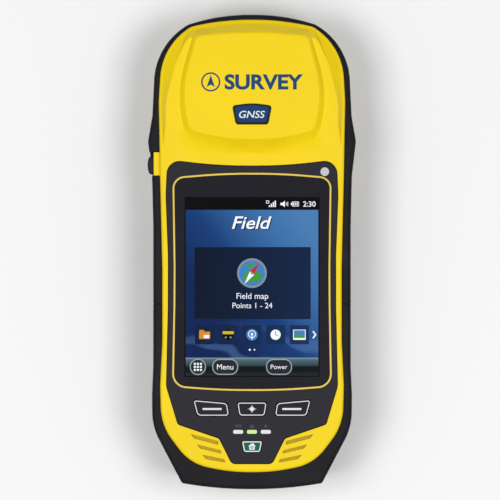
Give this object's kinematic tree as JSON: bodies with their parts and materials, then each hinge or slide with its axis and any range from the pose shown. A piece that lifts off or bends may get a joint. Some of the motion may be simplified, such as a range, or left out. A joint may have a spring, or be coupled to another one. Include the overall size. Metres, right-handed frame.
{
  "type": "handheld gnss data collector",
  "caption": "Rugged handheld satellite data collector with an antenna dome, touch screen, keys and a latched battery pack.",
  "frame": {"origin": "middle of the object's outline, on the resting plane of the four rear pads; the object lies on its back", "axes": "+Z out of the screen, +Y towards the antenna head, +X to the right of someone who reads the screen"},
  "size_m": [0.1027, 0.234, 0.056],
  "materials": {
    "yellow_shell": "fine satin texture",
    "black_rubber": "matt rubber",
    "dark_plastic": "satin",
    "gold_trim": "satin metallic",
    "clear_window": "polished",
    "display": "gloss",
    "inner_metal": "brushed",
    "circuit_board": "solder mask",
    "white_ceramic": "glazed",
    "shield_steel": "bright",
    "contact_brass": "bright",
    "black_moulding": "matt",
    "dark_keys": "satin silicone",
    "green_key": "satin silicone",
    "seal_silicone": "matt",
    "white_light": "translucent",
    "green_light": "translucent, lit",
    "blue_badge": "gloss",
    "cell_metal": "sleeved",
    "steel": "zinc plated"
  },
  "bodies": {
    "housing": {"front_case": "yellow_shell", "rear_case": "yellow_shell", "rear_cover": "yellow_shell", "head_bumper": "black_rubber", "base_bumper": "black_rubber", "rear_pads": "black_rubber", "screen_bezel": "dark_plastic", "camera_module": "dark_plastic", "screen_trim": "gold_trim", "touch_window": "clear_window", "camera_windows": "clear_window", "lcd_module": "display", "chassis": "inner_metal", "antenna_base": "inner_metal", "latch_plate": "inner_metal", "main_board": "circuit_board", "key_board": "circuit_board", "receiver_board": "circuit_board", "antenna_patch": "white_ceramic", "signal_shields": "shield_steel", "antenna_connector": "contact_brass", "contact_block": "black_moulding", "data_port": "black_moulding", "card_socket": "black_moulding", "expansion_connector": "black_moulding", "power_switch": "black_moulding", "speakers": "black_moulding", "speaker_meshes": "black_moulding", "keypad_gasket": "seal_silicone", "window_gasket": "seal_silicone", "rear_cover_gasket": "seal_silicone", "case_seal": "seal_silicone", "status_light_left": "white_light", "status_light_right": "white_light", "light_sensor_window": "white_light", "status_light_middle": "green_light", "badge_plate": "blue_badge", "case_screws": "steel", "cover_screws": "steel", "inner_screws": "steel", "strap_bars": "steel", "cover_pins": "steel", "left_latch_spring": "steel", "right_latch_spring": "steel"},
    "battery": {"battery_case": "dark_plastic", "battery_lid": "dark_plastic", "battery_cells": "cell_metal", "battery_contacts": "contact_brass"},
    "left_soft_key": {"left_soft_key": "dark_keys"},
    "action_key": {"action_key": "dark_keys"},
    "right_soft_key": {"right_soft_key": "dark_keys"},
    "home_key": {"home_key": "green_key"},
    "power_button": {"power_button": "dark_plastic"},
    "left_latch": {"left_latch": "dark_plastic", "left_latch_bolt": "steel"},
    "right_latch": {"right_latch": "dark_plastic", "right_latch_bolt": "steel"},
    "card_door": {"card_door": "black_rubber"},
    "port_cover": {"port_cover": "black_rubber"},
    "antenna_cap": {"antenna_cap": "black_rubber"}
  },
  "joints": [
    {"name": "left_soft_key_press", "type": "slide", "parent": "housing", "child": "left_soft_key", "axis": [0, 0, -1], "range_m": [0, 0.0008], "stiffness_N_per_m": 1500},
    {"name": "action_key_press", "type": "slide", "parent": "housing", "child": "action_key", "axis": [0, 0, -1], "range_m": [0, 0.0008], "stiffness_N_per_m": 1500},
    {"name": "right_soft_key_press", "type": "slide", "parent": "housing", "child": "right_soft_key", "axis": [0, 0, -1], "range_m": [0, 0.0008], "stiffness_N_per_m": 1500},
    {"name": "home_key_press", "type": "slide", "parent": "housing", "child": "home_key", "axis": [0, 0, -1], "range_m": [0, 0.0008], "stiffness_N_per_m": 1500},
    {"name": "power_button_press", "type": "slide", "parent": "housing", "child": "power_button", "axis": [1, 0, 0], "range_m": [0, 0.0008], "stiffness_N_per_m": 2000},
    {"name": "left_latch_slide", "type": "slide", "parent": "housing", "child": "left_latch", "axis": [0, 1, 0], "range_m": [0, 0.003], "stiffness_N_per_m": 1000, "deforming": ["left_latch_spring"]},
    {"name": "right_latch_slide", "type": "slide", "parent": "housing", "child": "right_latch", "axis": [0, 1, 0], "range_m": [0, 0.003], "stiffness_N_per_m": 1000, "deforming": ["right_latch_spring"]},
    {"name": "battery_lift", "type": "slide", "parent": "housing", "child": "battery", "axis": [0, 0, -1], "range_m": [0, 0.04]},
    {"name": "card_door_swing", "type": "hinge", "parent": "housing", "child": "card_door", "pos_m": [0.0469, 0.015, 0.0188], "axis": [0, 1, 0], "range_deg": [0, 95]},
    {"name": "port_cover_swing", "type": "hinge", "parent": "housing", "child": "port_cover", "pos_m": [0, -0.1149, 0.0189], "axis": [1, 0, 0], "range_deg": [0, 95]},
    {"name": "antenna_cap_lift", "type": "slide", "parent": "housing", "child": "antenna_cap", "axis": [0, 0, -1], "range_m": [0, 0.012]}
  ]
}
